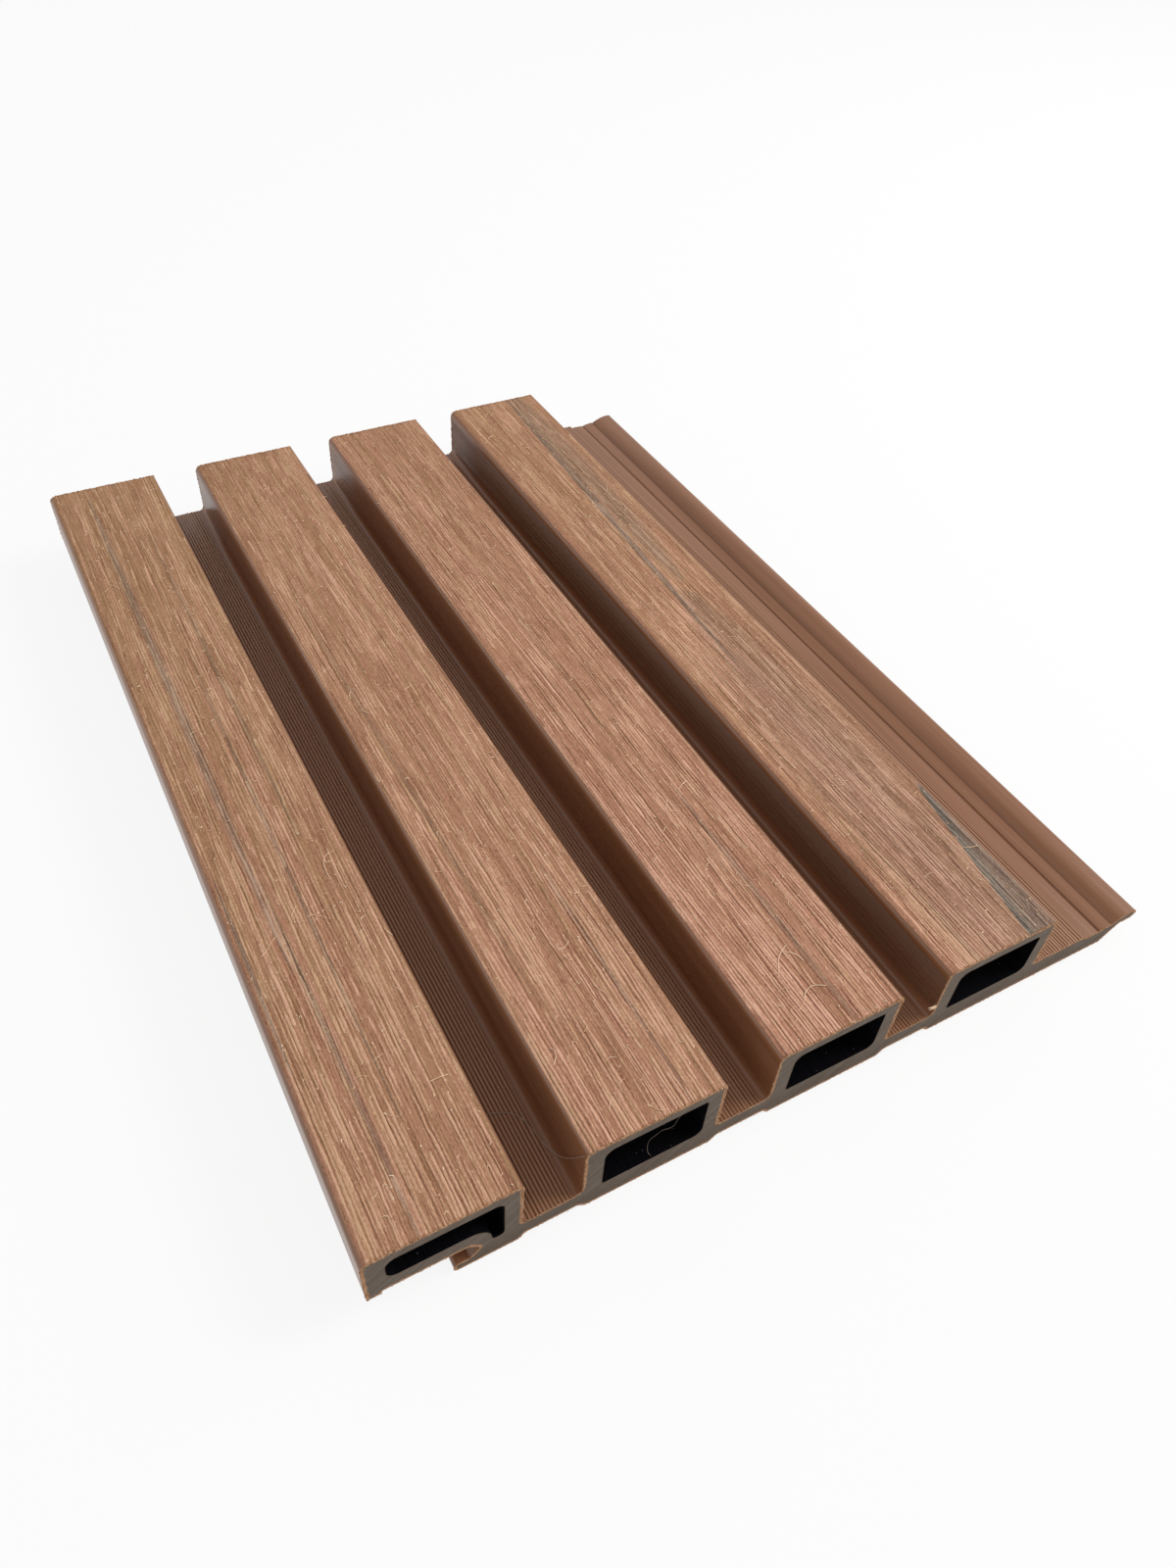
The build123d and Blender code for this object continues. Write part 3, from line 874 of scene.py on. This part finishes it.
# Hooks where a ridge was torn off: the end of the ridge is pushed aside and curls up
HOOKS_EACH = 620
WHOLE_FROM = 0.6  # a ridge ends where it is less whole than this
HOOK_REACH, HOOK_THICK = (0.15, 0.6), (0.08, 0.17)  # mm, as are the next three lines
HOOK_TAIL, HOOK_LIFT, HOOK_BEND = (0.1, 0.5), (0.02, 0.14), (0.1, 0.4)
HOOK_SHIFT, HOOK_TIP = (0, 0.7), (-0.35, 0.45)
HOOK_ROOT, HOOK_RISE = 0.06, 0.02
LONG_HOOK, LONG_SHARE = 2.4, 0.16
HOOK_TAPER = np.array([0.6, 1.0, 0.9, 0.45])
hooks = Threads()
for crest, low, whole in slat_crests:
    ends_here = np.argwhere((whole[:, :-1] > WHOLE_FROM) & (whole[:, 1:] < WHOLE_FROM))
    starts_here = np.argwhere((whole[:, 1:] > WHOLE_FROM) & (whole[:, :-1] < WHOLE_FROM))
    spots = [(rib, row, 1) for rib, row in ends_here] + [(rib, row + 1, -1) for rib, row in starts_here]
    picked = chance.permutation(len(spots))[:HOOKS_EACH]
    for choice in picked:
        rib, row, heading = spots[choice]
        side = chance.choice((-1, 1))
        reach = chance.uniform(*HOOK_REACH) * MM * (LONG_HOOK if chance.random() < LONG_SHARE else 1.0)
        tail = chance.uniform(*HOOK_TAIL) * MM
        x, z = crest[rib, row] * MM, top_z - low[rib, row] * MM
        y = row_y[row] + heading * chance.uniform(*HOOK_SHIFT) * MM
        lift = chance.uniform(*HOOK_LIFT) * MM
        bend = chance.uniform(*HOOK_BEND) * MM
        path = [(x, y - heading * tail, z - HOOK_ROOT * MM), (x, y, z + HOOK_RISE * MM)]
        path.append((x + side * reach * 0.5, y + heading * bend, z + lift))
        path.append((x + side * reach, y + heading * chance.uniform(*HOOK_TIP) * MM, z + lift * 0.4))
        thick = chance.uniform(*HOOK_THICK) * MM
        path = np.clip(path, (-1, near_y, -1), (1, far_y, 1))
        hooks.add(path, HOOK_TAPER * thick)
hooks.piece("ridge_hooks", torn_skin)

# Longer curls lying on the slats: the ones that stand out, then many small ones strewn about,
# and a forked splinter that the saw left on the wall of the last slat
CURLS = [
    [(-43.0, -93.6), (-42.5, -95.7), (-41.6, -96.6), (-40.2, -96.5), (-38.6, -95.2)],
    [(-39.2, -108.2), (-38.8, -110.2), (-38.0, -111.7)],
    [(-43.1, -140.6), (-42.4, -141.9), (-41.3, -142.7), (-40.2, -142.8)],
    [(-57.1, -122.8), (-55.4, -121.0), (-55.1, -119.2), (-55.9, -118.6)],
    [(0.1, -126.4), (1.9, -123.9), (3.4, -121.5), (5.3, -120.3), (7.2, -119.4)],
    [(5.3, -120.4), (7.1, -121.9), (8.1, -123.3), (8.3, -125.0)],
    [(-1.0, -135.7), (1.2, -134.9), (3.2, -132.4), (5.0, -131.5), (7.0, -131.8), (8.9, -133.1)],
    [(-2.2, -96.5), (-1.4, -97.0), (-0.3, -97.3)],
    [(-104.0, -67.7), (-102.0, -66.4), (-100.6, -64.6), (-99.2, -63.7)],
    [(-94.3, -59.8), (-93.2, -58.4), (-92.0, -57.0)],
    [(-82.0, -53.2), (-82.1, -50.6), (-82.0, -48.0), (-81.3, -46.0), (-80.0, -44.9), (-78.2, -44.7)],
    [(-82.4, -114.2), (-80.3, -114.2), (-78.0, -114.4)],
    [(10.9, -64.8), (12.7, -63.4), (14.8, -62.8)],
    [(4.6, -70.3), (6.3, -71.0), (7.0, -71.4)],
    [(-75.9, -72.5), (-75.5, -74.0), (-74.9, -75.2)],
    [(2.3, -90.8), (3.4, -90.3), (4.3, -89.7)],
    [(66.9, -114.5), (68.2, -115.4), (69.8, -116.0), (71.2, -115.8)],
]
SPLINTER = [
    [(38.1, -143.5, 11.6), (37.3, -144.0, 11.6), (35.9, -144.2, 12.2), (34.3, -144.2, 13.0)],
    [(38.1, -143.5, 11.2), (37.3, -144.0, 11.2), (36.3, -144.2, 11.5), (35.1, -144.2, 11.4)],
]
SPLINTER_RADII = np.array([0.30, 0.34, 0.24, 0.05]) * MM
CURL_HEIGHT = 0.10 * MM
CURL_RADIUS = 0.11 * MM
CURL_SINK = 0.03 * MM  # how far the ends of a curl lie in the skin
CURL_END = 0.3  # angle at which the swelling of a curl starts, in radians
LOOSE_EACH = 60
LOOSE_LEFT, LOOSE_RIGHT = 2.4, 1  # mm kept free along the edges of a top
LOOSE_SPAN, LOOSE_LIMIT = 0.97, 143.5
LOOSE_TURN, LOOSE_BEND, LOOSE_STRIDE = 0.9, 0.55, (0.5, 1.2)
LOOSE_STRIDES = (2, 5)
LOOSE_HEIGHT, LOOSE_RADIUS = (0.03, 0.15), (0.05, 0.09)  # mm
curls = Threads()


def rounded(path, rounds):
    """Path with its corners worn off, and its two ends kept."""
    for _ in range(rounds):
        path[1:-1] = (path[:-2] + 2 * path[1:-1] + path[2:]) / 4
    return path


def curl_path(marks, height):
    """Smooth line through a few places on a slat top, humped in the middle and down at its ends."""
    marks = np.asarray(marks, float) * MM
    at = np.concatenate([[0], np.cumsum(np.hypot(*np.diff(marks, axis=0).T))])
    steps = np.linspace(0, at[-1], 4 * len(marks))
    flat = rounded(np.column_stack([np.interp(steps, at, marks[:, axis]) for axis in (0, 1)]), 6)
    hump = np.sin(np.linspace(0, math.pi, len(flat)))
    return np.column_stack([flat, top_z - CURL_SINK + height * hump])


for marks_of_curl in CURLS:
    path = curl_path(marks_of_curl, CURL_HEIGHT)
    taper = 0.65 + 0.35 * np.sin(np.linspace(CURL_END, math.pi - CURL_END, len(path)))
    curls.add(path, CURL_RADIUS * taper, sides=6)
for prong in SPLINTER:
    curls.add(np.array(prong) * MM, SPLINTER_RADII, sides=6)
for left, right in top_edges:
    left, right = left / MM + LOOSE_LEFT, right / MM - LOOSE_RIGHT
    for _ in range(LOOSE_EACH):
        start = np.array([chance.uniform(left, right), chance.uniform(near_y, far_y) / MM * LOOSE_SPAN])
        heading = chance.normal(math.pi / 2, LOOSE_TURN)
        bend = chance.normal(0, LOOSE_BEND)
        marks_of_curl = [start]
        for step in range(chance.integers(*LOOSE_STRIDES)):
            heading += bend
            stride = chance.uniform(*LOOSE_STRIDE) * np.array([math.cos(heading), math.sin(heading)])
            limits = (left, -LOOSE_LIMIT), (right, LOOSE_LIMIT)
            marks_of_curl.append(np.clip(marks_of_curl[-1] + stride, *limits))
        path = curl_path(marks_of_curl, chance.uniform(*LOOSE_HEIGHT) * MM)
        curls.add(path, np.full(len(path), chance.uniform(*LOOSE_RADIUS) * MM))
curls.piece("brush_curls", torn_skin)

# Long hairs of grey-tan swarf: one clings to the first groove and the wall beside it, and one
# hangs in the mouth of the second chamber, from its top edge down to its floor.
GROOVE_HAIR = [
    (-71.5, -118.2, 7.50), (-69.2, -118.6, 7.50), (-66.8, -119.8, 7.55), (-65.0, -121.6, 7.55),
    (-64.0, -123.7, 7.50), (-63.5, -126.1, 7.50), (-63.1, -128.6, 7.50), (-62.5, -131.8, 7.55),
    (-61.5, -134.7, 8.20), (-60.75, -137.1, 10.8), (-60.65, -140.8, 18.2), (-60.5, -143.4, 23.4),
]
CHAMBER_HAIR = [
    (-35.7, -143.5, 21.5), (-36.4, -143.5, 20.5), (-37.7, -143.6, 19.4), (-38.0, -143.7, 17.2),
    (-39.5, -143.6, 16.7), (-41.0, -143.5, 17.8), (-42.2, -143.4, 16.5), (-44.2, -143.5, 16.2),
    (-44.7, -143.6, 14.0), (-44.3, -143.6, 10.2), (-42.9, -143.4, 6.95),
]
GROOVE_HAIR_RADIUS, CHAMBER_HAIR_RADIUS = 0.10 * MM, 0.026 * MM
HAIR_DARK, HAIR_PALE = (0.30, 0.22, 0.17, 1), (0.48, 0.37, 0.29, 1)
hair_swarf, tree, surface = new_finish("hair_swarf", 0.55, 0.3)
patches = placed(tree, grit, Scale=450.0)
colour = mixed(tree, ranged(tree, patches, 0.3, 0.7), HAIR_DARK, HAIR_PALE)
tree.links.new(colour, surface["Base Color"])
tree.links.new(ranged(tree, patches, 0.3, 0.7, 0.45, 0.65), surface["Roughness"])
tree.links.new(raised(tree, patches, 0.2, 0.0001), surface["Normal"])
hairs = Threads()
for marks_of_hair, radius in ((GROOVE_HAIR, GROOVE_HAIR_RADIUS), (CHAMBER_HAIR, CHAMBER_HAIR_RADIUS)):
    marks_of_hair = np.array(marks_of_hair) * MM
    at = np.arange(len(marks_of_hair))
    steps = np.linspace(0, at[-1], 5 * len(at))
    path = np.column_stack([np.interp(steps, at, marks_of_hair[:, axis]) for axis in range(3)])
    hairs.add(rounded(path, 10), np.full(len(path), radius), sides=6)
hairs.piece("swarf_hairs", hair_swarf)

# Floor under the board: a plain white sheet that takes a soft shadow
FLOOR_SIZE = 6.0
FLOOR_DROP = 0.00005  # metres below the back of the board
FLOOR_WHITE = (0.86, 0.86, 0.86, 1)
FLOOR_GLOW = 0.88  # share of plain white that the eye sees, the rest is lit floor
floor_mesh = bpy.data.meshes.new("floor")
half = FLOOR_SIZE / 2
corners = [(-half, -half), (half, -half), (half, half), (-half, half)]
floor_mesh.from_pydata([(x, y, -FLOOR_DROP) for x, y in corners], [], [(0, 1, 2, 3)])
floor = bpy.data.objects.new("floor", floor_mesh)
bpy.context.scene.collection.objects.link(floor)
floor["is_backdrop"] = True


def seen_directly(tree):
    """1 for what the eye, a gloss or a clear piece sees, and 0 for light on its way."""
    path = tree.nodes.new("ShaderNodeLightPath")
    seen = worked(tree, "MAXIMUM", path.outputs["Is Camera Ray"], path.outputs["Is Glossy Ray"])
    return worked(tree, "MAXIMUM", seen, path.outputs["Is Transmission Ray"])


material, tree, surface = new_finish("white_floor", 0.9, 0.2)
surface["Base Color"].default_value = FLOOR_WHITE
lit = tree.nodes["Principled BSDF"].outputs[0]
glow = tree.nodes.new("ShaderNodeEmission")
blend = tree.nodes.new("ShaderNodeMixShader")
tree.links.new(worked(tree, "MULTIPLY", seen_directly(tree), FLOOR_GLOW), blend.inputs[0])
tree.links.new(lit, blend.inputs[1])
tree.links.new(glow.outputs[0], blend.inputs[2])
tree.links.new(blend.outputs[0], tree.nodes["Material Output"].inputs["Surface"])
floor_mesh.materials.append(material)

# Studio light: a pale room, one large soft lamp on the right and a low warm strip behind
ROOM_LEVEL = 0.54
ROOM_TINT = (0.97, 0.985, 1.0, 1)
world = bpy.data.worlds.new("pale_room")
world.use_nodes = True
bpy.context.scene.world = world
tree = world.node_tree
background = tree.nodes["Background"]
background.inputs["Color"].default_value = ROOM_TINT
level = worked(tree, "MULTIPLY", seen_directly(tree), 1 - ROOM_LEVEL)
tree.links.new(worked(tree, "ADD", level, ROOM_LEVEL), background.inputs["Strength"])


def soft_lamp(name, direction, distance, width, height, level, tint):
    """Lamp that gives about `level` to a surface facing it at the board."""
    lamp = bpy.data.lights.new(name, "AREA")
    lamp.shape = "RECTANGLE"
    lamp.size, lamp.size_y = width, height
    lamp.color = tint
    lamp.energy = level * math.pi ** 2 * distance ** 2
    holder = bpy.data.objects.new(name, lamp)
    aim = Vector(direction).normalized()
    holder.location = aim * distance
    holder.rotation_euler = aim.to_track_quat("Z", "Y").to_euler()
    bpy.context.scene.collection.objects.link(holder)


WINDOW_TINT, STRIP_TINT = (1.0, 0.985, 0.96), (1.0, 0.97, 0.93)
soft_lamp("window_right", (0.74, -0.2, 0.64), 1.3, width=0.7, height=0.7, level=0.75, tint=WINDOW_TINT)
soft_lamp("strip_behind", (-0.87, 0.47, 0.16), 1.6, width=1.3, height=0.3, level=0.15, tint=STRIP_TINT)

# Camera where the photographer stood: in front of the left corner, close, looking down
CAMERA_PLACE = (-0.12142, -0.23151, 0.24508)
CAMERA_HEADING, CAMERA_DOWN, CAMERA_ROLL = map(math.radians, (31.889, 46.189, 4.384))
LENS = 26.18
camera_data = bpy.data.cameras.new("camera")
camera_data.lens = LENS
camera_data.sensor_width = 36
camera_data.clip_start = 0.01
camera = bpy.data.objects.new("camera", camera_data)
turn = Matrix.Rotation(-CAMERA_HEADING, 4, "Z") @ Matrix.Rotation(math.pi / 2 - CAMERA_DOWN, 4, "X")
camera.matrix_world = Matrix.Translation(CAMERA_PLACE) @ turn @ Matrix.Rotation(CAMERA_ROLL, 4, "Z")
bpy.context.scene.collection.objects.link(camera)
bpy.context.scene.camera = camera
bpy.context.scene.view_settings.view_transform = "Standard"

low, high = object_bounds()
